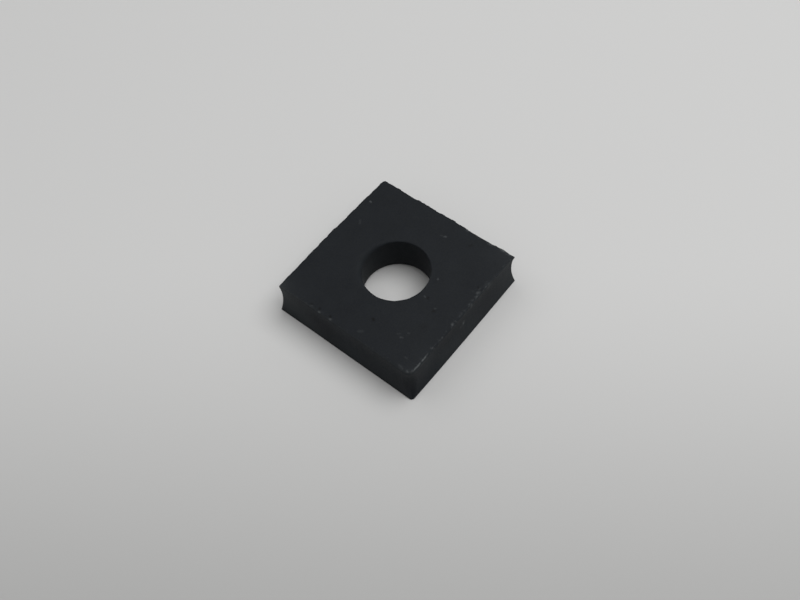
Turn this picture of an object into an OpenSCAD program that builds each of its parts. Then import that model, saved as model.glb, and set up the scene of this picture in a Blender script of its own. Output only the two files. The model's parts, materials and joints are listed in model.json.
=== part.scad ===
// Square rubber spacer: a pad cut from thick rubber sheet, with a punched hole for a bolt through its middle.
// Cutting squeezes the thick sheet, so the four walls spring back hollow, and the hole opens out at the bottom.
// The origin is the middle of the bottom face, with +Z up along the hole and X and Y along the sides.

/* [Pad] */
// Side of the square bottom face, the wider of the two faces
base_side = 30; // [24:0.5:60]
// Thickness of the rubber sheet
thickness = 8; // [4:0.5:16]

/* [Cut walls] */
// How far the top edge of each wall stands in from its bottom edge
wall_lean = 0.6; // [0:0.1:1.5]
// How deep each wall is hollowed, from a straight line between its two edges
wall_hollow = 0.3; // [0.1:0.05:1]

/* [Bolt hole] */
// Diameter of the straight part of the hole, up to the top face
hole_d = 12; // [4:0.5:18]
// How far the hole's wall stands back at the bottom face
mouth_flare = 0.5; // [0.1:0.1:0.9]
// Height of the mouth that opens out towards the bottom face
mouth_h = 3; // [1:0.25:3.5]

/* [Hidden] */
$fn = 128;
rubber_black = "#26282b";

// Length by which a cutting shape passes the faces that it cuts
overcut = 1;

// Seen along a wall, its two edges are the ends of a chord, and the hollow is the arc on that chord
wall_chord = norm([wall_lean, thickness]);
hollow_r = (wall_chord ^ 2 / 4 + wall_hollow ^ 2) / (2 * wall_hollow);
// The arc's centre lies off the middle of the chord, square to it, out beyond the wall
hollow_reach = hollow_r - wall_hollow;
hollow_x = (base_side - wall_lean) / 2 + hollow_reach * thickness / wall_chord;
hollow_z = thickness / 2 + hollow_reach * wall_lean / wall_chord;

// The mouth's arc leaves the straight wall of the hole without a kink and ends at the rim of the bottom face
hole_r = hole_d / 2;
mouth_r = (mouth_h ^ 2 + mouth_flare ^ 2) / (2 * mouth_flare);

// Section of the pad between two opposite walls: the sheet, less the hollow on each side
module wall_section() {
    sheet_w = base_side + 2 * overcut;
    difference() {
        translate([-sheet_w / 2, 0])
            square([sheet_w, thickness]);
        for (side = [-1, 1])
            translate([side * hollow_x, hollow_z])
                circle(r = hollow_r);
    }
}

// A bar with that section, as long as the sheet is wide
module hollow_sided_bar() {
    rotate([90, 0, 0])
        linear_extrude(height = base_side + 2 * overcut, center = true)
            wall_section();
}

// Half section of what the punch takes out: the straight hole and the mouth below it
module hole_section() {
    translate([0, -overcut])
        square([hole_r, thickness + 2 * overcut]);
    difference() {
        translate([0, -overcut])
            square([hole_r + mouth_r, mouth_h + overcut]);
        translate([hole_r + mouth_r, mouth_h])
            circle(r = mouth_r);
    }
}

// The pad: two bars crossed at right angles share the square middle, and the hole goes down through it
module spacer() {
    color(rubber_black)
    difference() {
        intersection() {
            hollow_sided_bar();
            rotate([0, 0, 90])
                hollow_sided_bar();
        }
        rotate_extrude()
            hole_section();
    }
}

spacer();
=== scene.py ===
# %% [markdown]
# # A square rubber spacer
#
# This lesson dresses one small part: a square pad of black rubber with a bolt hole through its middle.
# The pad is cut from thick sheet, and nearly all of its character comes from that cut. The blade squeezes
# the rubber, so the walls spring back hollow, the top edges tear into a ragged lip, and handling has since
# rubbed the front edges round and left pale scuffs on them.
#
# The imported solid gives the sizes. One finer mesh takes its place, with the torn and worn edges as real
# shape, and a node material gives it the blue black colour, the grain and the scuffs.

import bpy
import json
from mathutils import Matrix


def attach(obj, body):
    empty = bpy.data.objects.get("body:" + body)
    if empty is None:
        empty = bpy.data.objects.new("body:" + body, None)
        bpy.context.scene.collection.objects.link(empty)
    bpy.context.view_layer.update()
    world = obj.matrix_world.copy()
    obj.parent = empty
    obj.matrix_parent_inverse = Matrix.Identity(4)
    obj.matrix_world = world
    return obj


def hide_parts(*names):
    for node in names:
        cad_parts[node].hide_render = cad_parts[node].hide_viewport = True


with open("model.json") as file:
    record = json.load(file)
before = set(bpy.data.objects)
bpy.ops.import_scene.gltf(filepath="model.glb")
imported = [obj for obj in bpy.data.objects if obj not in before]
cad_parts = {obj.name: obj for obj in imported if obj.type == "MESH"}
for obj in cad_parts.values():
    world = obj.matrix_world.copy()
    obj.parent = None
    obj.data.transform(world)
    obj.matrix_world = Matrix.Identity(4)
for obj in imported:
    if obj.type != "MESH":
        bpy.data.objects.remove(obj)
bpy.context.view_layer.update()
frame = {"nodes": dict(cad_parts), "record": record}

# %% [markdown]
# ## Read the sizes
#
# A dressed mesh has to lie where the solid lies. The sizes could be typed in a second time, but then a
# change to the solid would leave the mesh behind. So they are measured here: the two square faces from the
# highest and lowest points, the hollow of the walls from the points on the upright corners, and the hole
# from the record. Everything is kept in millimetres until the mesh is made, because the details are tenths
# of a millimetre.

# %% Measure the two square faces
import json
import math
import random

import bpy
import numpy as np
from mathutils import Quaternion, Vector, noise

MM = 0.001
# Points this close to a face or to a corner count as lying on it, in millimetres
TOUCH = 0.01

solid = np.array([v.co for v in frame["nodes"]["spacer"].data.vertices], float) / MM
thickness = solid[:, 2].max()
on_base = solid[solid[:, 2] < TOUCH]
on_top = solid[solid[:, 2] > thickness - TOUCH]
base_half = np.abs(on_base[:, :2]).max()
top_half = np.abs(on_top[:, :2]).max()
print(f"pad {2 * base_half:.2f} mm below, {2 * top_half:.2f} mm on top, {thickness:.2f} mm thick")

# %% Measure the walls and the hole
on_corner = solid[np.abs(np.abs(solid[:, 0]) - np.abs(solid[:, 1])) < TOUCH]
straight_half = base_half + (top_half - base_half) * on_corner[:, 2] / thickness
wall_hollow = (straight_half - np.abs(on_corner[:, 0])).max()

bolt_hole = next(m for m in frame["record"]["mounts"] if m["name"] == "bolt_hole")
hole_r = bolt_hole["dims"]["r_mm"]
mouth_h = thickness - bolt_hole["dims"]["length_mm"]
mouth_flare = np.hypot(on_base[:, 0], on_base[:, 1]).min() - hole_r
print(f"walls hollow by {wall_hollow:.2f} mm")
print(f"hole {2 * hole_r:.2f} mm, opening out by {mouth_flare:.2f} mm over the lowest {mouth_h:.2f} mm")

# %% [markdown]
# ## Columns round the pad
#
# A pad with a hole is a ring, so one grid can cover it with no seam: columns that stand round the square,
# and rows that run over the section, up the wall, across the top, down the hole and back under. A cube with
# a boolean hole would give long thin faces that can't take a torn edge. In this grid every vertex knows
# which side it is on and how far along, and the columns stand closer together at the corners, which are
# blunt and need a small arc.
#
# The sides are walked from the front corner: front right, back right, back left, front left.

# %% Lay out the columns
# Gap between columns along a side and near a corner, and how far the close ones reach, in millimetres
COLUMN_GAP = 0.22
CORNER_GAP = 0.06
CORNER_RUN = 0.9
# The sides in order, with the direction in which each one runs and the one that it faces
SIDES = ("front_right", "back_right", "back_left", "front_left")
SIDE_RUNS = np.array([(1, 0), (0, 1), (-1, 0), (0, -1)])
SIDE_FACES = np.array([(0, -1), (1, 0), (0, 1), (-1, 0)])

side_len = 2 * base_half
near_corner = np.arange(0, CORNER_RUN - CORNER_GAP / 2, CORNER_GAP)
mid_count = round((side_len - 2 * CORNER_RUN) / COLUMN_GAP)
mid_side = np.linspace(CORNER_RUN, side_len - CORNER_RUN, mid_count, endpoint=False)
one_side = np.concatenate([near_corner, mid_side, side_len - CORNER_RUN + near_corner])
print(len(one_side), "columns a side,", COLUMN_GAP, "mm apart, and", CORNER_GAP, "mm at the corners")

# %% Stand the columns round the square
# Which side each column is on, how far along it from -1 to 1, and how far round the pad in millimetres
side_of = np.repeat(np.arange(4), len(one_side))
step = np.tile(one_side * 2 / side_len - 1, 4)
around = side_of * side_len + np.tile(one_side, 4)
# Each column's place on a square of half width 1, and its direction from the middle of the hole
square = SIDE_RUNS[side_of] * step[:, None] + SIDE_FACES[side_of]
ray = square / np.hypot(square[:, 0], square[:, 1])[:, None]
columns = len(around)
print(columns, "columns round the pad")

# %% [markdown]
# ## The torn lip
#
# Thick rubber doesn't part cleanly where the blade comes out: it tears in short ledges, up to about a
# millimetre long, each standing a little proud of the next or short of it. A smooth noise would look like
# waves, so the lip is drawn as ledges of random length, with a short ramp between two ledges. The two back
# edges of this pad are torn the most, and the front edges are worn nearly smooth.

# %% Tear the top edges
# Shortest and longest ledge and the ramp between two of them, in millimetres
LEDGE_LENGTHS = (0.2, 1.1)
LEDGE_RAMP = 0.12
# How far a ledge may tilt, as a share of the tear's depth, and the seed for each side's ledges
LEDGE_TILT = 0.3
LEDGE_SEEDS = (11, 12, 13, 14)
# The tear dies away over this length at both corners, so that two sides meet without a step
CORNER_FADE = 0.5
# Depth of the tear, in millimetres, at evenly spaced places along each side from its first corner
TEAR_DEPTH = {
    "front_right": (0.02, 0.02, 0.02, 0.03),
    "back_right": (0.06, 0.06, 0.10, 0.07),
    "back_left": (0.08, 0.08, 0.10, 0.08),
    "front_left": (0.03, 0.02, 0.02, 0.02),
}


def round_the_pad(values):
    """Evenly spaced values for each side, joined round the pad and read at each column."""
    joined = [value for side in SIDES for value in values[side]]
    spots = np.linspace(0, 4 * side_len, len(joined), endpoint=False)
    return np.interp(around, spots, joined, period=4 * side_len)


def ledges(seed):
    """Ledges along one side: how far the lip stands out at each of its columns, from about -1 to 1."""
    draw = random.Random(seed)
    knots, heights = [-LEDGE_RAMP], [0.0]
    while knots[-1] < side_len:
        height = draw.uniform(-1, 1)
        start = knots[-1] + LEDGE_RAMP
        knots += [start, start + draw.uniform(*LEDGE_LENGTHS)]
        heights += [height, height + LEDGE_TILT * draw.uniform(-1, 1)]
    whole = np.clip(np.minimum(one_side, side_len - one_side) / CORNER_FADE, 0, 1)
    return whole * np.interp(one_side, knots, heights)


torn = round_the_pad(TEAR_DEPTH) * np.concatenate([ledges(seed) for seed in LEDGE_SEEDS])
print("torn lip from", round(torn.min(), 3), "to", round(torn.max(), 3), "mm")

# %% [markdown]
# ## Bowed and worn edges
#
# A blade pushed through thick rubber wanders, so the top face isn't quite square: its edges bow in and out
# by a few tenths of a millimetre, it reaches out to the left and right corners and falls short at the back.
# The front edges are rubbed round. These change slowly along the pad, so a few evenly spaced values a side
# are enough, joined by straight lines round the ring.

# %% Bow the edges
# Outward bow of the top edge and of the bottom edge, in millimetres
TOP_BOW = {
    "front_right": (-0.05, 0.0, 0.0, 0.0, 0.0, 0.0, 0.0, 0.0, 0.0, 0.03, 0.08, 0.16),
    "back_right": (0.27, 0.44, 0.19, 0.14, 0.11, 0.20, 0.20, 0.10, 0.14, -0.07, -0.02, -0.05),
    "back_left": (-0.16, -0.07, -0.06, -0.02, 0.02, 0.12, 0.17, 0.18, 0.20, 0.20, 0.17, 0.22),
    "front_left": (0.15, 0.06, 0.0, 0.0, 0.0, 0.0, 0.0, 0.0, 0.0, 0.0, 0.0, 0.0),
}
FOOT_BOW = {
    "front_right": (-0.04, 0.08, 0.12, 0.12),
    "back_right": (0.10, 0.0, 0.0, 0.0),
    "back_left": (0.0, 0.0, 0.0, 0.0),
    "front_left": (0.06, 0.0, 0.0, -0.03),
}

bow = round_the_pad(TOP_BOW)
foot_bow = round_the_pad(FOOT_BOW)
print("top edges bow from", bow.min(), "to", bow.max(), "mm")

# %% Wear the top edges
# How far the top edge is worn in over the top, in millimetres
TOP_WORN = {
    "front_right": (0.52, 0.40, 0.34, 0.26),
    "back_right": (0.10, 0.08, 0.08, 0.10),
    "back_left": (0.14, 0.12, 0.12, 0.14),
    "front_left": (0.24, 0.32, 0.38, 0.46),
}
# A worn edge reaches this many times further down the wall than in over the top
ROLL_DOWN = 1.8

worn = round_the_pad(TOP_WORN)
worn_down = ROLL_DOWN * worn
print("top edges are worn in by", worn.min(), "to", worn.max(), "mm")

# %% [markdown]
# ## Burred and blunt corners
#
# Where two cuts meet, the blade drags a small burr out of the top corner. The left and right corners have
# kept theirs, and they show as little beaks in the outline. The front corner has been knocked blunt, most of
# all half way up. A blunt corner is a small arc in the plan, found by pulling the nearest columns in towards
# the arc's centre.

# %% Round the corners in plan
CORNERS = ("front", "right", "back", "left")
# Radius of each upright corner at the bottom face and at the top face, in millimetres
BLUNT_FOOT = {"front": 0.65, "right": 0.05, "back": 0.25, "left": 0.15}
BLUNT_HEAD = {"front": 0.9, "right": 0.10, "back": 0.55, "left": 0.22}
# How much rounder the corner is half way up
BLUNT_MIDDLE = {"front": 1.0, "right": 0.0, "back": 0.1, "left": 0.0}
# No corner has a smaller radius than this
LEAST_BLUNT = 0.01

nearest_corner = np.round(around / side_len).astype(int) % 4


def at_corner(values):
    """For each column, the value of the corner that it is nearest to."""
    return np.array([values[corner] for corner in CORNERS])[nearest_corner]


def corner_blunt(z):
    """Radius of the nearest upright corner at height z, for every column."""
    up = z / thickness
    straight = at_corner(BLUNT_FOOT) * (1 - up) + at_corner(BLUNT_HEAD) * up
    return straight + at_corner(BLUNT_MIDDLE) * 4 * up * (1 - up)


def blunt_plan(half, blunt):
    """Plan of a ring: a square of the given half width at each column, with its corners rounded."""
    blunt = np.maximum(blunt, LEAST_BLUNT)
    along = np.abs(step) * half
    into_arc = np.maximum(along - (half - blunt), 0)
    pull = blunt / np.hypot(into_arc, blunt)
    along = np.where(into_arc > 0, half - blunt + into_arc * pull, along)
    out = half - blunt * (1 - pull)
    return SIDE_RUNS[side_of] * (np.sign(step) * along)[:, None] + SIDE_FACES[side_of] * out[:, None]


blunt_foot = corner_blunt(0.0)
print("corners blunt to", blunt_foot.max(), "mm at the foot")

# %% Drag out the burrs
# Size of the burr left on each top corner, and how far it runs along the edges, in millimetres
CORNER_BURRS = {"front": 0.0, "right": 0.10, "back": 0.0, "left": 0.03}
BURR_WIDTH = 0.5

from_corner = np.abs(around - np.round(around / side_len) * side_len)
burr = at_corner(CORNER_BURRS) * np.exp(-(from_corner / BURR_WIDTH) ** 2)
print("burrs up to", round(burr.max(), 2), "mm")

# %% [markdown]
# ## The hollow wall
#
# Seen along a wall, its section is a shallow arc between the bottom edge and the top edge. The lip, the burr
# and the bow of the top edge are added to it and die away down the wall. The blade also leaves faint upright
# ripples, which are noise stretched along the wall's height.

# %% Work out the wall at a height
# How far below the top the lip and the burr reach, in millimetres
LIP_H = 0.55
BURR_H = 0.7
# The bow of an edge dies away with this power of the height
BOW_FADE = 3
# Depth of the ripples, their size along and up the wall, in millimetres, and their seed
RIPPLE = 0.03
RIPPLE_SIZE = (1.3, 1.3, 9.0)
RIPPLE_SEED = 3
# How far one seed's noise lies from the next
SEED_STEP = (17.3, 5.9, 11.1)


def rough(points, size, seed):
    """Smooth noise from -1 to 1 at points in millimetres, with lumps of about the given size."""
    shift = Vector([seed * part for part in SEED_STEP])
    return np.array([noise.noise(Vector(p) + shift) for p in np.asarray(points) / np.asarray(size)])


def wall_half(z):
    """Half the pad's width at height z, for every column."""
    up = z / thickness
    below_lip = thickness - z
    arc = base_half + (top_half - base_half) * up - 4 * wall_hollow * up * (1 - up)
    lip = torn * np.exp(-(below_lip / LIP_H) ** 2) + burr * np.exp(-(below_lip / BURR_H) ** 2)
    ripple = RIPPLE * rough(np.column_stack([square * base_half, z]), RIPPLE_SIZE, RIPPLE_SEED)
    wander = bow * up ** BOW_FADE + foot_bow * (1 - up) ** BOW_FADE
    return arc + lip + wander + ripple * np.sin(math.pi * np.clip(up, 0, 1))


middle = wall_half(np.full(columns, thickness / 2))
print("half width at mid height from", round(middle.min(), 2), "to", round(middle.max(), 2), "mm")

# %% [markdown]
# ## Rows over the section
#
# Now the rows are stacked, each one a ring of points. They start at the rim of the hole underneath, run out
# to the bottom edge, up the wall, round the worn edge, in over the top and down the hole. Rows lie close
# together at the edges, where the shape turns quickly. Beside each row go two marks: how much of it is a cut
# face, so that the finish can tell the cut walls from the skin of the sheet, and how much light is painted on
# it.

# %% Get ready to stack rows
ROWS = {"bottom": 8, "edge": 6, "worn edge": 14, "wall": 32, "top": 40, "hole": 12, "mouth": 8}

# Each ring's points, its share of cut face, and the light painted on it
rings, cut_marks, painted_light_marks = [], [], []


def add_ring(plan, z, cut, painted_light=0.0):
    """One ring of points: its plan, its height, its share of cut face and the light painted on it."""
    rings.append(np.column_stack([plan, np.broadcast_to(z, columns)]))
    cut_marks.append(np.full(columns, cut))
    painted_light_marks.append(np.broadcast_to(painted_light, columns))


def shares(count, power=1.0):
    """Steps from 0 to 1, without either end, closer together near 0 for a power above 1."""
    return (np.arange(1, count) / count) ** power


# Angles over which a small edge and a worn edge turn from one face to the next
quarter = np.linspace(0, math.pi / 2, ROWS["edge"] + 1)
worn_quarter = np.linspace(0, math.pi / 2, ROWS["worn edge"] + 1)
print(len(quarter), "rows to a small edge,", len(worn_quarter), "to a worn one")

# %% Rows of the bottom face
# Radius of the bottom edge and of the rim of the hole's mouth, in millimetres
BOTTOM_EDGE = 0.10
MOUTH_EDGE = 0.06
# The punch came down a little off the middle
HOLE_SHIFT = np.array([0.10, 0.10])


def hole_plan(radius):
    """Plan of a ring of the hole, of one radius or of a radius for each column."""
    return ray * np.broadcast_to(radius, columns)[:, None] + HOLE_SHIFT


foot_half = wall_half(np.full(columns, BOTTOM_EDGE))
low_edge = blunt_plan(foot_half - BOTTOM_EDGE, blunt_foot - BOTTOM_EDGE)
mouth_rim = hole_plan(hole_r + mouth_flare + MOUTH_EDGE)
for share in shares(ROWS["bottom"])[::-1]:
    add_ring(low_edge + (mouth_rim - low_edge) * share, 0.0, 0.0)
for turn in quarter:
    inset = BOTTOM_EDGE * (1 - math.sin(turn))
    z = BOTTOM_EDGE * (1 - math.cos(turn))
    add_ring(blunt_plan(foot_half - inset, blunt_foot - inset), z, math.sin(turn))
print(len(rings), "rings up to the wall")

# %% Rows of the wall
# How strongly the rows crowd towards both ends of the wall
WALL_CROWDING = 0.12

wall_top = thickness - worn_down
for share in shares(ROWS["wall"]):
    crowded = share - WALL_CROWDING * math.sin(2 * math.pi * share)
    z = BOTTOM_EDGE + (wall_top - BOTTOM_EDGE) * crowded
    add_ring(blunt_plan(wall_half(z), corner_blunt(z)), z, 1.0)
print(len(rings), "rings up to the worn edge")

# %% Rows of the worn edge
# How far the top sinks at a worn edge, as a share of the wear
EDGE_DIP = 0.10
# Paleness of the light painted on the worn edge, at evenly spaced places along each side
EDGE_PAINTED_LIGHT = {
    "front_right": (0.14, 0.05, 0.06, 0.14),
    "back_right": (0.17, 0.02, 0.02, 0.02),
    "back_left": (0.02, 0.02, 0.02, 0.05),
    "front_left": (0.26, 0.18, 0.175, 0.165),
}
# The slope that gets most of that painted light, and how far either side of it it reaches, in degrees
PAINTED_LIGHT_TILT = 60
PAINTED_LIGHT_SPREAD = 26

edge_painted_light = round_the_pad(EDGE_PAINTED_LIGHT)
edge_half = wall_half(wall_top)
edge_blunt = corner_blunt(wall_top)
for turn in worn_quarter:
    inset = worn * (1 - math.cos(turn))
    z = thickness - worn_down * (1 - math.sin(turn)) - EDGE_DIP * worn * math.sin(turn)
    tilt = math.degrees(math.atan2(ROLL_DOWN * math.cos(turn), math.sin(turn)))
    # Painted light on the worn edge, strongest at one slope of the arc
    painted_light = edge_painted_light * math.exp(-((tilt - PAINTED_LIGHT_TILT) / PAINTED_LIGHT_SPREAD) ** 2)
    add_ring(blunt_plan(edge_half - inset, edge_blunt - inset), z, math.cos(turn), painted_light)
print(len(rings), "rings up to the top face")

# %% [markdown]
# ### The punched hole
#
# A punch drags rubber with it as it goes in, so the rim of the hole is crisp at the front and soft on the
# left, the hole bulges a little to the right, and its outline wobbles. A plain circle would look drilled.
# The soft side and the bulge depend on which way a column faces, so one small helper gives that.

# %% Shape the rim of the hole
# Direction of the hole's bulge, its size in millimetres and how narrow it is
BULGE_SIDE = (0.98, -0.20)
BULGE = 0.20
BULGE_NARROW = 2
# Depth and size of the wobble of the rim, in millimetres, and its seed
RIM_WOBBLE = 0.06
RIM_WOBBLE_SIZE = 1.1
RIM_WOBBLE_SEED = 7
# Radius of the rim where it is crisp, in millimetres
HOLE_RIM_CRISP = 0.10
# Direction of each dragged side, how much softer the rim is there, and how narrow the stretch is
DRAGGED_SIDES = [((-0.25, 0.97), 1.0, 3), ((-0.95, 0.30), 0.2, 3), ((0.95, 0.30), 0.1, 3)]


def facing(side, narrow):
    """How much each column faces a side, from 0 to 1, over a narrower stretch for a higher power."""
    return np.clip(ray @ np.array(side), 0, 1) ** narrow


hole_rim = np.full(columns, HOLE_RIM_CRISP)
for side, softer, narrow in DRAGGED_SIDES:
    hole_rim += softer * facing(side, narrow)
on_rim = np.column_stack([ray * hole_r, np.zeros(columns)])
wobble = RIM_WOBBLE * rough(on_rim, RIM_WOBBLE_SIZE, RIM_WOBBLE_SEED)
hole_top = hole_r + BULGE * facing(BULGE_SIDE, BULGE_NARROW) + wobble
print("rim of the hole from", round(hole_rim.min(), 2), "to", round(hole_rim.max(), 2), "mm round")

# %% Rows of the top face
# How strongly the rows crowd towards the edge, and how far in from it the top is sunk, in millimetres
TOP_CROWDING = 1.6
EDGE_DIP_WIDTH = 1.1
# Height and size of the slow waves of the skin, in millimetres, and their seed
SKIN_WAVE = 0.03
SKIN_WAVE_SIZE = 7.0
SKIN_WAVE_SEED = 5

top_edge = blunt_plan(edge_half - worn, edge_blunt - worn)
top_rim = hole_plan(hole_top + hole_rim)
for share in shares(ROWS["top"], TOP_CROWDING):
    plan = top_edge + (top_rim - top_edge) * share
    from_edge = np.linalg.norm(plan - top_edge, axis=1)
    wave = SKIN_WAVE * rough(np.column_stack([plan, np.zeros(columns)]), SKIN_WAVE_SIZE, SKIN_WAVE_SEED)
    dip = EDGE_DIP * worn * np.exp(-(from_edge / EDGE_DIP_WIDTH) ** 2)
    add_ring(plan, thickness + wave * math.sin(math.pi * share) - dip, 0.0)
print(len(rings), "rings up to the hole")

# %% Rows of the hole
# A punch leaves a duller wall than a blade, so the hole counts as cut face only in part
PUNCHED = 0.3
# Direction, paleness and narrowness of the light painted on the hole's wall, on the side facing the right
# lamp
PAINTED_LIGHT_SIDE = (-0.40, 0.91)
HOLE_PAINTED_LIGHT = 0.07
HOLE_PAINTED_LIGHT_NARROW = 1.5
# How quickly the bulge dies away below the rim
BULGE_FADE = 4

hole_painted_light = HOLE_PAINTED_LIGHT * facing(PAINTED_LIGHT_SIDE, HOLE_PAINTED_LIGHT_NARROW)
for turn in quarter:
    radius = hole_top + hole_rim * (1 - math.sin(turn))
    z = thickness - hole_rim * (1 - math.cos(turn))
    add_ring(hole_plan(radius), z, PUNCHED * math.sin(turn), hole_painted_light * math.sin(turn) ** 2)
for share in shares(ROWS["hole"]):
    radius = hole_r + (hole_top - hole_r) * (1 - share) ** BULGE_FADE
    z = thickness - hole_rim - (thickness - hole_rim - mouth_h) * share
    add_ring(hole_plan(radius), z, PUNCHED, hole_painted_light)
print(len(rings), "rings up to the mouth")

# %% Rows of the mouth
# The mouth's wall is an arc that leaves the straight hole without a kink
mouth_arc = (mouth_h ** 2 + mouth_flare ** 2) / (2 * mouth_flare)

for share in np.linspace(0, 1, ROWS["mouth"] + 1):
    drop = (mouth_h - MOUTH_EDGE) * share
    radius = hole_r + mouth_arc - math.sqrt(mouth_arc ** 2 - drop ** 2)
    add_ring(hole_plan(radius), mouth_h - drop, PUNCHED, hole_painted_light * (1 - share))
add_ring(mouth_rim, 0.0, 0.0)
print(len(rings), "rings in all, and the mouth is an arc of", round(mouth_arc, 2), "mm")

# %% [markdown]
# ## The mesh
#
# The rings are joined into quads, and the last ring is joined to the first, so the mesh is closed and has
# no rim. Its volume, worked out from the faces, shows at once whether they all point outwards: it has to
# come out close to that of the solid, and above nought.

# %% Join the rings
points = np.concatenate(rings)
row, col = np.meshgrid(np.arange(len(rings)), np.arange(columns), indexing="ij")
next_row, next_col = (row + 1) % len(rings), (col + 1) % columns
quad_corners = [(row, col), (row, next_col), (next_row, next_col), (next_row, col)]
quads = np.stack([(r * columns + c).ravel() for r, c in quad_corners], axis=1)

mesh = bpy.data.meshes.new("spacer_rubber")
mesh.from_pydata((points * MM).tolist(), [], quads.tolist())
mesh.polygons.foreach_set("use_smooth", np.ones(len(quads), bool))
mesh.update()
pad = bpy.data.objects.new("spacer_rubber", mesh)
bpy.context.scene.collection.objects.link(pad)
print(len(points), "points and", len(quads), "quads")

# %% Work out the volume
first, second, third, fourth = (points[quads[:, corner]] for corner in range(4))
one_half = np.einsum("ij,ij->i", first, np.cross(second, third))
other_half = np.einsum("ij,ij->i", first, np.cross(third, fourth))
volume = (one_half + other_half).sum() / 6
print("volume", round(volume, 1), "cubic mm")

# %% [markdown]
# ## Marks that the finish reads
#
# Five numbers are stored on every vertex: how much it is cut face, how much of a scuff lies on it, how much
# light and how much shade are painted on it, and how likely it is to be rubbed pale, which along the back
# edges is a painted highlight. They could be painted by hand on an image, but stored on the vertices they
# follow the torn and worn shape at any size. Most are measured from the worn edge, so each vertex is first
# given its distance from that edge.

# %% Find each vertex's place at the edge
# Where the arc of a worn edge leans half way, as a share of the wear
HALF_WAY = 1 - math.sqrt(0.5)


def store(name, values):
    """One number for each vertex of the pad, under a name that the material can ask for."""
    layer = mesh.attributes.new(name, "FLOAT", "POINT")
    layer.data.foreach_set("value", np.asarray(values, np.float32))


def on_rows(values):
    """A value for each column, repeated for every row."""
    return np.tile(values, len(rings))


all_around = on_rows(around)
all_side = on_rows(side_of)
half_width = np.abs(points[:, :2]).max(axis=1)
below_edge = thickness - points[:, 2] - on_rows(worn_down) * HALF_WAY
# The hole's wall lies in the inner half of the pad, and isn't counted
on_wall = (below_edge > 0) & (half_width > top_half / 2)
# Distance in from the worn edge over the top, or minus the distance down from it on the wall
inward = np.where(on_wall, -below_edge, on_rows(edge_half - worn * HALF_WAY) - half_width)
store("cut_face", np.concatenate(cut_marks))
print(int(on_wall.sum()), "vertices below the worn edge")

# %% [markdown]
# ### Scuffs
#
# Handling has scraped pale strokes along the front edges, and along the back right edge near its corner. A
# noise alone would spread them evenly, so the ones that stand out are a short list, each with the stretch
# that it covers, how far it lies from the edge and how pale it is. Between them lie fine specks, too small
# to be placed one by one, so a seeded draw scatters them.

# %% List the scuffs
# Side, start and end from the side's first corner, distance in from the edge, width, paleness
SCUFFS = [
    ("front_right", -0.4, 1.1, 0.15, 0.14, 0.3),
    ("front_right", 0.8, 2.1, 0.06, 0.10, 0.8),
    ("front_right", 1.7, 3.1, 0.02, 0.11, 1.35),
    ("front_right", 3.2, 4.7, 0.04, 0.10, 1.2),
    ("front_right", 4.4, 5.3, 0.10, 0.10, 0.5),
    ("front_right", 2.6, 5.1, -0.60, 0.50, 0.12),
    ("front_right", 6.0, 6.8, 0.12, 0.14, 0.45),
    ("front_right", 7.9, 8.9, 0.05, 0.12, 0.3),
    ("front_right", 11.9, 12.8, 0.15, 0.22, 0.6),
    ("front_right", 14.1, 14.8, -3.30, 0.45, 0.3),
    ("front_right", 14.9, 15.7, -2.95, 0.42, 1.2),
    ("front_right", 14.6, 15.4, 0.25, 0.28, 0.22),
    ("front_right", 17.1, 17.8, 0.22, 0.14, 0.5),
    ("front_right", 17.2, 18.1, -0.50, 0.50, 0.8),
    ("front_right", 19.1, 19.9, 0.18, 0.26, 0.5),
    ("front_right", 19.9, 20.9, 0.36, 0.30, 0.45),
    ("front_right", 20.2, 20.9, -1.00, 0.80, 0.22),
    ("front_right", 22.3, 23.4, 0.10, 0.34, 0.22),
    ("front_right", 22.3, 23.9, -0.70, 0.60, 0.3),
    ("back_right", 0.3, 1.4, 0.12, 0.22, 0.65),
    ("back_right", 1.6, 3.0, 0.16, 0.26, 0.65),
    ("back_right", 4.0, 5.3, 0.14, 0.26, 0.5),
    ("back_right", 6.8, 7.5, 0.12, 0.22, 0.35),
    ("back_right", 9.5, 10.4, 0.14, 0.22, 0.45),
    ("front_left", 6.9, 7.6, 0.18, 0.20, 0.4),
    ("front_left", 8.9, 9.6, 0.12, 0.18, 0.75),
    ("front_left", 11.5, 12.2, 0.12, 0.18, 0.9),
    ("front_left", 27.2, 28.8, 0.22, 0.28, 0.2),
    ("front_left", 29.1, 29.9, 0.20, 0.18, 0.75),
    ("front_left", 28.8, 30.4, 0.15, 0.14, 0.3),
]
print(len(SCUFFS), "scuffs")

# %% Scatter fine specks
# How many specks, their seed, the stretch that they lie on and where they are thickest
SPECKS = 28
SPECK_SEED = 21
SPECKS_ON = (12.0, 25.0)
SPECKS_THICKEST = 17.0
# Shortest and longest speck, the middle and spread of its distance in from the edge, its width and paleness
SPECK_LENGTH = (0.35, 0.9)
SPECK_INSET = (0.10, 0.55)
SPECK_WIDTH = (0.10, 0.20)
SPECK_PALENESS = (0.08, 0.36)

draw = random.Random(SPECK_SEED)
specks = []
for _ in range(SPECKS):
    start = draw.triangular(*SPECKS_ON, SPECKS_THICKEST)
    end = start + draw.uniform(*SPECK_LENGTH)
    inset = draw.gauss(*SPECK_INSET)
    width = draw.uniform(*SPECK_WIDTH)
    specks.append(("front_right", start, end, inset, width, draw.uniform(*SPECK_PALENESS)))
print(len(specks), "specks along the front right edge")

# %% Store the scuffs
# A scuff fades out over this length at both ends, in millimetres
SCUFF_FADE = 0.35


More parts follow.
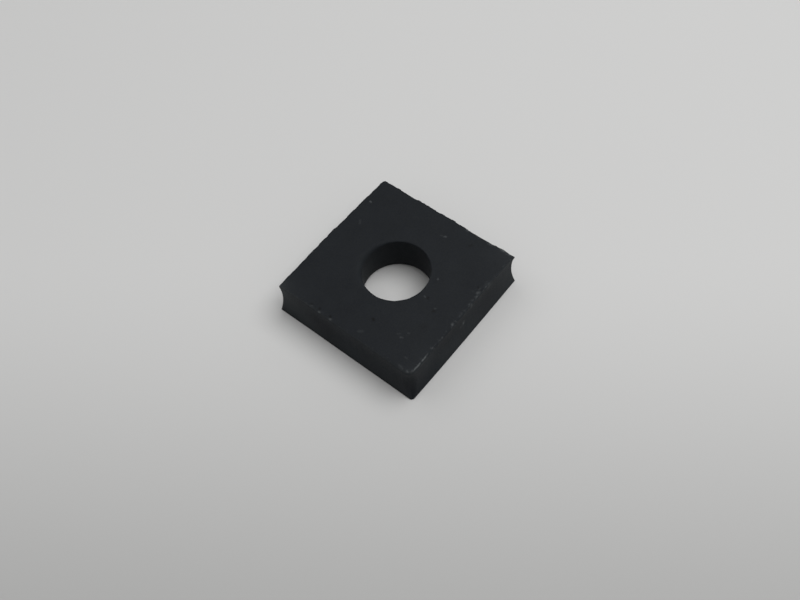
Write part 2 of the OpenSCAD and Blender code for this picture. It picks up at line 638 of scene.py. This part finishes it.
def strokes_on_edges(strokes, fade):
    """The palest of the strokes at each vertex, with their ends faded over the given length."""
    total = np.zeros(len(points))
    for side, start, end, inset, width, paleness in strokes:
        along = all_around - SIDES.index(side) * side_len
        lengthwise = np.clip((along - start) / fade, 0, 1) * np.clip((end - along) / fade, 0, 1)
        stroke = paleness * lengthwise * np.exp(-((inward - inset) / width) ** 2)
        total = np.maximum(total, np.where(all_side == SIDES.index(side), stroke, 0))
    return total


scuff = strokes_on_edges(SCUFFS + specks, SCUFF_FADE)
store("scuff", scuff)
print(int(np.count_nonzero(scuff)), "vertices under a scuff or a speck")

# %% [markdown]
# ### Painted light and shade
#
# The pad's colour carries painted light and shade: paler bands along the foot of the front walls, paler spots
# at the corners, on the hole's wall and faintly on the top, and darker spots on the walls. Both change over
# several millimetres, so soft bands and round spots are enough, and the painted light on the worn edges and
# in the hole comes from the rings.

# %% Store the painted light
# Bands of painted light along the foot of the front walls, in the scuffs' terms, and the fade at their ends
PAINTED_LIGHT_BANDS = [
    ("front_left", -4.0, 34.0, -7.0, 2.6, 0.085),
    ("front_right", 6.0, 34.0, -6.8, 3.0, 0.095),
]
PAINTED_LIGHT_FADE = 4.0
# Round spots of painted light: place, radius and paleness
PAINTED_LIGHT_SPOTS = [
    (14.4, -14.5, 4.6, 4.2, 0.13),
    (-14.5, 14.4, 6.4, 1.8, 0.27),
    (-14.4, 14.2, 3.2, 2.0, 0.12),
    (-14.4, 11.4, 4.6, 2.8, 0.15),
    (9.0, -8.0, 8.0, 13.0, 0.020),
    (-13.9, -13.9, 7.4, 1.2, 0.07),
    (-10.9, -14.4, 4.6, 2.6, 0.075),
    (-14.7, 8.0, 1.4, 2.4, 0.09),
    (-5.4, 3.2, 7.6, 1.2, 0.03),
    (-2.4, 5.6, 4.6, 2.6, 0.08),
    (-7.0, -11.0, 8.0, 8.0, 0.022),
]


def round_spots(spots):
    """Round spots added up at each vertex."""
    total = np.zeros(len(points))
    for *middle, radius, strength in spots:
        total += strength * np.exp(-((points - middle) ** 2).sum(axis=1) / radius ** 2)
    return total


bands = strokes_on_edges(PAINTED_LIGHT_BANDS, PAINTED_LIGHT_FADE)
# Painted light: the bands, the light painted on the rings and the spots, added up
store("painted_light_sum", bands + np.concatenate(painted_light_marks) + round_spots(PAINTED_LIGHT_SPOTS))
print(len(PAINTED_LIGHT_BANDS), "bands and", len(PAINTED_LIGHT_SPOTS), "spots of haze")

# %% Store the painted shade and the rubbed and highlit edges
# Round spots of painted shade on the walls: place, radius and strength
PAINTED_SHADE_SPOTS = [
    (-14.5, 3.6, 3.2, 3.6, 0.9),
    (-14.3, 6.4, 3.4, 2.4, 0.5),
    (-14.2, -14.0, 2.8, 3.2, 1.0),
    (-14.8, -7.0, 0.8, 2.6, 0.6),
    (-5.0, -14.4, 6.6, 3.0, 0.5),
    (4.5, -14.4, 5.0, 4.0, 0.4),
    (8.4, -14.5, 2.4, 3.4, 0.6),
]
# How much each side's edge is rubbed pale, which on the back edges is a painted highlight, and how wide
# the pale strip is, in millimetres
RUB_AND_HIGHLIGHT = {"front_right": 0.3, "back_right": 0.3, "back_left": 0.2, "front_left": 0.15}
RUB_AND_HIGHLIGHT_WIDTH = {"front_right": 0.45, "back_right": 0.15, "back_left": 0.15, "front_left": 0.35}


def on_sides(values):
    """A value for each side, repeated for every vertex on it."""
    return on_rows(np.array([values[side] for side in SIDES])[side_of])


# Painted shade: darker colour in round spots on the walls
store("painted_shade", round_spots(PAINTED_SHADE_SPOTS))
# Rubbed pale along the front edges, and a painted highlight along the back edges
store("rub_and_highlight", on_sides(RUB_AND_HIGHLIGHT) * np.exp(-(inward / on_sides(RUB_AND_HIGHLIGHT_WIDTH)) ** 2))
print(len(PAINTED_SHADE_SPOTS), "dragged spots, and marks stored:", [layer.name for layer in mesh.attributes])

# %% [markdown]
# ## The rubber
#
# Sheet rubber is filled with carbon, so it is nearly black, with a cold blue cast where the light meets its
# skin. It is never one flat black: filler and bloom mottle it over a few millimetres, fine grain breaks up
# the light, light is painted on what is worn, and shade in a few places. One flat colour would look like
# plastic, and an image would blur close up, so the colour is built up from noise in that order.

# %% Start the material
rubber = bpy.data.materials.new("matte_black_rubber")
rubber.use_nodes = True
# The helpers below add their nodes to the tree that these two names stand for
nodes, links = rubber.node_tree.nodes, rubber.node_tree.links
shader = nodes["Principled BSDF"]


def add(kind, **settings):
    """A new node with its properties set."""
    made = nodes.new("ShaderNode" + kind)
    for key, value in settings.items():
        setattr(made, key, value)
    return made


def feed(node, inputs):
    """Sets a node's inputs to values or other nodes' outputs, by name or by number, and returns the node."""
    for key, value in inputs.items():
        if isinstance(value, bpy.types.NodeSocket):
            links.new(value, node.inputs[key])
        else:
            node.inputs[key].default_value = value
    return node


print("material", rubber.name, "starts with", len(nodes), "nodes")

# %% Helpers for numbers and colours


def calc(operation, first, second=0.0):
    """The result of a sum on two values or outputs."""
    return feed(add("Math", operation=operation), {0: first, 1: second}).outputs[0]


def between(value, low, high, out_low=0.0, out_high=1.0):
    """A value carried from one range to another, held at both ends."""
    return feed(add("MapRange"), {0: value, 1: low, 2: high, 3: out_low, 4: out_high}).outputs[0]


def blend(share, first, second):
    """A colour between two colours or outputs."""
    return feed(add("Mix", data_type="RGBA"), {0: share, 6: first, 7: second}).outputs[2]


def mark(name):
    """A number stored on the vertices."""
    return add("Attribute", attribute_name=name).outputs["Fac"]


print("helpers for numbers, ranges, colours and marks")

# %% Helpers for places


def move(operation, *inputs):
    """A vector worked out from vectors or outputs."""
    return feed(add("VectorMath", operation=operation), dict(enumerate(inputs))).outputs["Vector"]


def scaled(vector, by):
    """A vector times a number or an output."""
    return feed(add("VectorMath", operation="SCALE"), {0: vector, "Scale": by}).outputs["Vector"]


def measure(operation, *inputs):
    """A number worked out from vectors or outputs."""
    return feed(add("VectorMath", operation=operation), dict(enumerate(inputs))).outputs["Value"]


in_mm = scaled(add("TexCoord").outputs["Object"], 1 / MM)
print("the rubber's patterns are laid out in millimetres")

# %% [markdown]
# ### Grain, mottling and streaks
#
# Each pattern is a noise at its own size. Grain is about a fifth of a millimetre, mottling a few
# millimetres, and the blade's drag marks on the cut faces are streaks that run up the wall: the same noise,
# with its height squashed so that each lump is drawn out long.

# %% Patterns of the surface
MOTTLE_SIZE = 4.0
GRAIN_SIZE = 0.22
STREAK_SIZE = 0.45
STREAK_SQUASH = (1.0, 1.0, 0.08)


def lumps(size, detail, vector=in_mm, out="Fac"):
    """Noise with lumps of about the given size in millimetres."""
    return feed(add("TexNoise"), {"Vector": vector, "Scale": 1 / size, "Detail": detail}).outputs[out]


mottle = lumps(MOTTLE_SIZE, detail=4.0)
grain = lumps(GRAIN_SIZE, detail=3.0)
streaks = lumps(STREAK_SIZE, detail=3.0, vector=move("MULTIPLY", in_mm, STREAK_SQUASH))
print("mottling of", MOTTLE_SIZE, "mm, grain of", GRAIN_SIZE, "mm, streaks of", STREAK_SIZE, "mm")

# %% [markdown]
# ### Nicks and pits
#
# A few pale nicks and small pits sit on the top face, and the pits are darkened with painted shade. They
# could be cut into the mesh, but they are hardly wider than its faces. So each is a short stroke between two
# points, drawn by the distance from it, with a ragged rim made by shaking the coordinates.

# %% Strokes on the top face
# How far the coordinates are shaken and the size of the shaking, in millimetres
SHAKE = 0.45
SHAKE_SIZE = 0.35
# Share of a stroke's half width that has its full strength
STROKE_CORE = 0.1

shaken_by = move("SUBTRACT", lumps(SHAKE_SIZE, detail=2.0, out="Color"), (0.5, 0.5, 0.5))
shaken = move("MULTIPLY_ADD", shaken_by, (SHAKE, SHAKE, SHAKE), in_mm)


def from_stroke(x0, y0, x1, y1):
    """Distance to a stroke between two points of the top face."""
    start, run = Vector((x0, y0, thickness)), Vector((x1 - x0, y1 - y0, 0))
    from_start = move("SUBTRACT", shaken, start)
    share = measure("DOT_PRODUCT", from_start, run / run.length_squared)
    return measure("DISTANCE", from_start, scaled(run, between(share, 0.0, 1.0)))


def strokes_on_top(strokes):
    """A mask of ragged strokes on the top face."""
    mask = 0.0
    for *ends, half_width, strength in strokes:
        stroke = between(from_stroke(*ends), half_width * STROKE_CORE, half_width, strength, 0.0)
        mask = calc("MAXIMUM", stroke, mask)
    return mask


print("strokes have rims shaken by up to", SHAKE / 2, "mm")

# %% Place the nicks and the pits
# Both ends of each nick, its half width, in millimetres, and its paleness
NICKS = [
    (8.94, 13.19, 8.91, 12.93, 0.24, 0.5),
    (4.60, 11.97, 4.05, 11.50, 0.30, 0.12),
    (10.86, -2.34, 10.95, -2.60, 0.28, 0.36),
    (10.66, -1.70, 10.80, -2.20, 0.22, 0.13),
    (3.14, -6.69, 3.04, -6.83, 0.24, 0.32),
    (-1.00, -7.05, -1.07, -7.22, 0.24, 0.26),
    (-1.96, -9.96, -1.76, -9.97, 0.20, 0.2),
    (-9.45, -7.81, -9.23, -8.24, 0.22, 0.1),
    (-9.70, -8.70, -9.50, -9.00, 0.26, 0.22),
    (-8.32, -9.19, -8.22, -9.39, 0.24, 0.15),
    (-12.95, -2.40, -12.65, -2.80, 0.42, 0.12),
    (-12.10, -11.60, -12.10, -12.00, 0.26, 0.14),
]
# Both ends of each pit, its half width, in millimetres, and its depth of shade
PITS = [
    (-2.47, -10.02, -2.36, -10.08, 0.42, 0.9),
    (-9.76, -2.82, -9.86, -2.96, 0.40, 1.0),
    (-0.95, -7.62, -1.08, -7.78, 0.38, 0.8),
    (-5.73, -10.48, -5.63, -10.61, 0.90, 0.35),
    (11.82, -7.07, 12.18, -7.34, 0.38, 0.6),
    (5.88, -13.18, 5.79, -13.33, 0.24, 0.7),
    (-13.80, 7.60, -13.85, 7.45, 0.32, 0.7),
    (-13.65, 5.85, -13.70, 5.70, 0.32, 0.9),
    (-13.70, 3.40, -13.75, 3.25, 0.34, 1.0),
]

nicks = strokes_on_top(NICKS)
pits = strokes_on_top(PITS)
print(len(NICKS), "nicks and", len(PITS), "pits on the top face")

# %% [markdown]
# ### Colour
#
# The skin and the cut faces are each mixed from a deeper and a paler black by a mottling. Scuffed rubber
# looks grey because its torn surface scatters light, so scuffs and rubbed flecks blend towards a dusty grey,
# broken up by a fine noise so that no stroke has a clean end. Painted light, and the painted highlight along
# the back edges, blend towards the same grey, and painted shade towards a near black.

# %% Black of the skin and of the cut faces
DEEP_BLACK = (0.0059, 0.0075, 0.0097, 1)
SKIN_BLACK = (0.0075, 0.0094, 0.0118, 1)
CUT_DEEP = (0.0042, 0.0070, 0.0098, 1)
CUT_BLACK = (0.0057, 0.0095, 0.0128, 1)
# Near black painted on the walls as shade
PAINTED_SHADE_BLACK = (0.0013, 0.0022, 0.0050, 1)
# Part of each mottling's range over which one black gives way to the other
SKIN_RANGE = (0.3, 0.7)
CUT_RANGE = (0.36, 0.60)
CUT_MOTTLE_SIZE = 2.6
# How far a cut face goes from the skin's colour to its own
CUT_SHARE = 0.7

skin = blend(between(mottle, *SKIN_RANGE), DEEP_BLACK, SKIN_BLACK)
cut_mottle = lumps(CUT_MOTTLE_SIZE, detail=3.0)
cut = blend(between(cut_mottle, *CUT_RANGE), CUT_DEEP, CUT_BLACK)
# Painted shade: the cut faces darken towards near black in round spots
cut = blend(calc("MULTIPLY", mark("painted_shade"), mark("cut_face")), cut, PAINTED_SHADE_BLACK)
base = blend(calc("MULTIPLY", mark("cut_face"), CUT_SHARE), skin, cut)
print("skin from", DEEP_BLACK[:3], "to", SKIN_BLACK[:3])

# %% Scuffs, painted light and the pits' painted shade
# Grey of the scuffs and of the painted light
SCUFF_AND_LIGHT_GREY = (0.096, 0.103, 0.106, 1)
# Near black painted in the pits as shade
PIT_SHADE_BLACK = (0.0010, 0.0012, 0.0015, 1)
# Size of the noise that breaks up the scuffs, its range, and the least and most of a scuff that it leaves
BREAK_SIZE = 0.4
BREAK_RANGE = (0.36, 0.60)
BREAK_LEAVES = (0.3, 1.1)
# Size and range of the noise that picks out rubbed flecks
FLECK_SIZE = 0.5
FLECK_RANGE = (0.56, 0.70)
# Strength of all pale strokes together
PALE_LEVEL = 1.05

stroke_break = between(lumps(BREAK_SIZE, detail=3.0), *BREAK_RANGE, *BREAK_LEAVES)
flecks = between(lumps(FLECK_SIZE, detail=4.0), *FLECK_RANGE)
strokes = calc("MULTIPLY", mark("scuff"), stroke_break)
# Rubbed flecks on the front edges, and a painted highlight on the back edges
rubbed_and_highlit = calc("MULTIPLY", mark("rub_and_highlight"), flecks)
pale = calc("MAXIMUM", calc("MAXIMUM", strokes, rubbed_and_highlit), nicks)
# Painted light is added to the pale strokes
pale = calc("ADD", calc("MULTIPLY", pale, PALE_LEVEL), mark("painted_light_sum"))
# The pits are darkened with painted shade
pit_shaded = blend(pits, base, PIT_SHADE_BLACK)
feed(shader, {"Base Color": blend(pale, pit_shaded, SCUFF_AND_LIGHT_GREY)})
print("scuffs and dust in grey", SCUFF_AND_LIGHT_GREY[:3])

# %% [markdown]
# ### Gloss and relief
#
# Matte rubber still reflects a little at a low angle, so it keeps some gloss, spread wide: a little tighter
# on the cut faces, and wider where it is scuffed or has light painted on it. The relief is given in
# millimetres: streaks on the cut faces, grain all over, and the pits. It is too fine for the mesh, so a bump
# carries it.

# %% Gloss of the rubber
SPECULAR = 0.19
# Roughness over the grain's range, how much smoother a cut face is and how much rougher a scuff is
GRAIN_RANGE = (0.3, 0.7)
SKIN_ROUGHNESS = (0.70, 0.84)
CUT_SMOOTHER = 0.05
SCUFF_ROUGHER = 0.2

shader.inputs["Specular IOR Level"].default_value = SPECULAR
roughness = between(grain, *GRAIN_RANGE, *SKIN_ROUGHNESS)
roughness = calc("SUBTRACT", roughness, calc("MULTIPLY", mark("cut_face"), CUT_SMOOTHER))
feed(shader, {"Roughness": calc("ADD", roughness, calc("MULTIPLY", pale, SCUFF_ROUGHER))})
print("roughness of the skin from", SKIN_ROUGHNESS[0], "to", SKIN_ROUGHNESS[1])

# %% Relief of the rubber
STREAK_H = 0.03
GRAIN_H = 0.010
PIT_H = 0.06

streak_relief = calc("MULTIPLY", calc("MULTIPLY", streaks, STREAK_H), mark("cut_face"))
grain_relief = calc("MULTIPLY", grain, GRAIN_H)
raised = calc("ADD", streak_relief, grain_relief)
relief = calc("SUBTRACT", raised, calc("MULTIPLY", pits, PIT_H))
bump = feed(add("Bump"), {"Strength": 1.0, "Distance": MM, "Height": relief})
feed(shader, {"Normal": bump.outputs[0]})
mesh.materials.append(rubber)
print("nodes in the rubber:", len(nodes))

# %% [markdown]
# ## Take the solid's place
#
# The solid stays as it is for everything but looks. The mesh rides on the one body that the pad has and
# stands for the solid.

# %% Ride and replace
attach(pad, "root")
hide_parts("spacer")
print("the pad stands for the solid spacer")

# %% [markdown]
# ## Floor
#
# A black pad needs a pale floor: the floor gives the outline, and the shade at its foot says that it lies
# flat. The floor is grey paper that darkens a little towards the front, is pale again further out, and far
# from the pad runs into the backdrop. A second light could do that, but it would reach the pad too, so the
# paper's own colour does it.

# %% Lay the floor
FLOOR_SIZE = 3.0
# The floor lies this far under the pad, in metres, so that the two faces don't coincide
FLOOR_DROP = 0.00001

reach_out = FLOOR_SIZE / 2
floor_plan = [(x * reach_out, y * reach_out, 0) for x, y in ((-1, -1), (1, -1), (1, 1), (-1, 1))]
floor_mesh = bpy.data.meshes.new("floor")
floor_mesh.from_pydata(floor_plan, [], [(0, 1, 2, 3)])
floor = bpy.data.objects.new("floor", floor_mesh)
bpy.context.scene.collection.objects.link(floor)
floor.location.z = -FLOOR_DROP
print("floor", FLOOR_SIZE, "m wide")

# %% Colour the floor
FLOOR_FRONT = (0.40, 0.40, 0.395, 1)
FLOOR_BACK = (0.63, 0.63, 0.625, 1)
# The way towards the back, and where along it the floor turns from dark to pale, in metres
TO_BACK = (0.80, 0.60, 0.0)
FALL_OFF = (-0.085, 0.010)
# Distance from the pad over which the dark part turns pale again, in metres
PALE_AGAIN = (0.085, 0.16)
PAPER_ROUGHNESS = 0.9
PAPER_SPECULAR = 0.1

paper = bpy.data.materials.new("pale_floor")
paper.use_nodes = True
nodes, links = paper.node_tree.nodes, paper.node_tree.links
paper_shader = nodes["Principled BSDF"]


def ease(value, low, high):
    """From 0 to 1 between two values, with soft ends."""
    return feed(add("MapRange", interpolation_type="SMOOTHSTEP"), {0: value, 1: low, 2: high}).outputs[0]


floor_place = add("TexCoord").outputs["Object"]
far_out = measure("LENGTH", floor_place)
fall_off = ease(measure("DOT_PRODUCT", floor_place, TO_BACK), *FALL_OFF)
pale_share = calc("MAXIMUM", fall_off, ease(far_out, *PALE_AGAIN))
feed(paper_shader, {"Base Color": blend(pale_share, FLOOR_FRONT, FLOOR_BACK)})
feed(paper_shader, {"Roughness": PAPER_ROUGHNESS, "Specular IOR Level": PAPER_SPECULAR})
print("paper from", FLOOR_FRONT[:3], "in front to", FLOOR_BACK[:3], "at the back")

# %% Run the floor into the backdrop
# Level of the backdrop, where 1 is white, and the distance over which the floor runs into it, in metres
PALE_BACKDROP = 0.55
BACKDROP_RUN = (0.12, 0.35)
WHITE = (1, 1, 1, 1)


def looked_at():
    """1 where the camera looks, also by way of gloss or glass, and 0 for light that falls on things."""
    rays = add("LightPath").outputs
    mirrored = calc("MAXIMUM", rays["Is Glossy Ray"], rays["Is Transmission Ray"])
    return calc("MAXIMUM", rays["Is Camera Ray"], mirrored)


backdrop_share = calc("MULTIPLY", ease(far_out, *BACKDROP_RUN), looked_at())
backdrop = feed(add("Emission"), {"Color": WHITE, "Strength": PALE_BACKDROP})
paper_mix = feed(add("MixShader"), {0: backdrop_share, 1: paper_shader.outputs[0], 2: backdrop.outputs[0]})
feed(nodes["Material Output"], {"Surface": paper_mix.outputs[0]})
floor_mesh.materials.append(paper)
print("floor runs into the backdrop", BACKDROP_RUN[1], "m from the pad")

# %% [markdown]
# ## Light
#
# Black rubber shows its shape only by soft light. One hard lamp would give a sharp shadow and leave the
# walls flat, so the light is plain: a soft lamp high up to the right, a weaker one at the back left, and a
# sky that is brightest overhead. What the camera sees of the sky is the pale backdrop.

# %% Set the sky
# Level of the sky at the horizon, and how much brighter it is overhead
SKY_LEVEL = 0.065
SKY_RISE = 0.39

world = bpy.data.worlds.new("soft_sky")
bpy.context.scene.world = world
world.use_nodes = True
nodes, links = world.node_tree.nodes, world.node_tree.links
sky_height = feed(add("SeparateXYZ"), {0: add("TexCoord").outputs["Generated"]}).outputs["Z"]
sky_level = between(sky_height, 0.0, 1.0, SKY_LEVEL, SKY_LEVEL + SKY_RISE)
sky_mix = feed(add("Mix", data_type="FLOAT"), {0: looked_at(), 2: sky_level, 3: PALE_BACKDROP})
feed(nodes["Background"], {"Color": WHITE, "Strength": sky_mix.outputs[0]})
print("sky from", SKY_LEVEL, "up to", SKY_LEVEL + SKY_RISE, "overhead")

# %% Hang the lamps
# Power in watts, and width and place in metres, of each lamp
LAMPS = {
    "right_lamp": (2.71, 0.52, Vector((0.196, -0.137, 0.6))),
    "back_lamp": (0.61, 0.56, Vector((-0.057, 0.392, 0.6))),
}

for lamp_name, (power, lamp_width, lamp_place) in LAMPS.items():
    lamp_data = bpy.data.lights.new(lamp_name, "AREA")
    lamp_data.shape = "DISK"
    lamp_data.size = lamp_width
    lamp_data.energy = power
    lamp = bpy.data.objects.new(lamp_name, lamp_data)
    lamp.location = lamp_place
    lamp.rotation_mode = "QUATERNION"
    lamp.rotation_quaternion = lamp_place.to_track_quat("Z", "Y")
    bpy.context.scene.collection.objects.link(lamp)
    print(lamp_name, power, "W,", lamp_width, "m wide")

# %% [markdown]
# ## Camera
#
# The camera looks down on the front corner from close by, and leans a little to one side. It could be placed
# by three coordinates, but a bearing, a height, a distance and the spot on the floor that it aims at are
# easier to read and to change.

# %% Place the camera
BEARING = math.radians(-47.04)
HEIGHT = math.radians(59.40)
LEAN = math.radians(-5.23)
DISTANCE = 166.2 * MM
AIM = Vector((-0.64, -0.91, 0.0)) * MM
# Focal length and sensor width, in millimetres, and the nearest thing that is drawn, in metres
LENS = 41.5
SENSOR = 36
CLIP_START = 0.005

level = math.cos(HEIGHT)
towards_camera = Vector((math.sin(BEARING) * level, -math.cos(BEARING) * level, math.sin(HEIGHT)))
camera_data = bpy.data.cameras.new("camera")
camera_data.lens = LENS
camera_data.sensor_width = SENSOR
camera_data.clip_start = CLIP_START
camera = bpy.data.objects.new("camera", camera_data)
camera.location = AIM + towards_camera * DISTANCE
camera.rotation_mode = "QUATERNION"
camera.rotation_quaternion = (-towards_camera).to_track_quat("-Z", "Y") @ Quaternion((0, 0, 1), LEAN)
bpy.context.scene.collection.objects.link(camera)
bpy.context.scene.camera = camera
bpy.context.scene.view_settings.view_transform = "Standard"
print("camera", round(DISTANCE / MM), "mm away, lens", LENS, "mm")
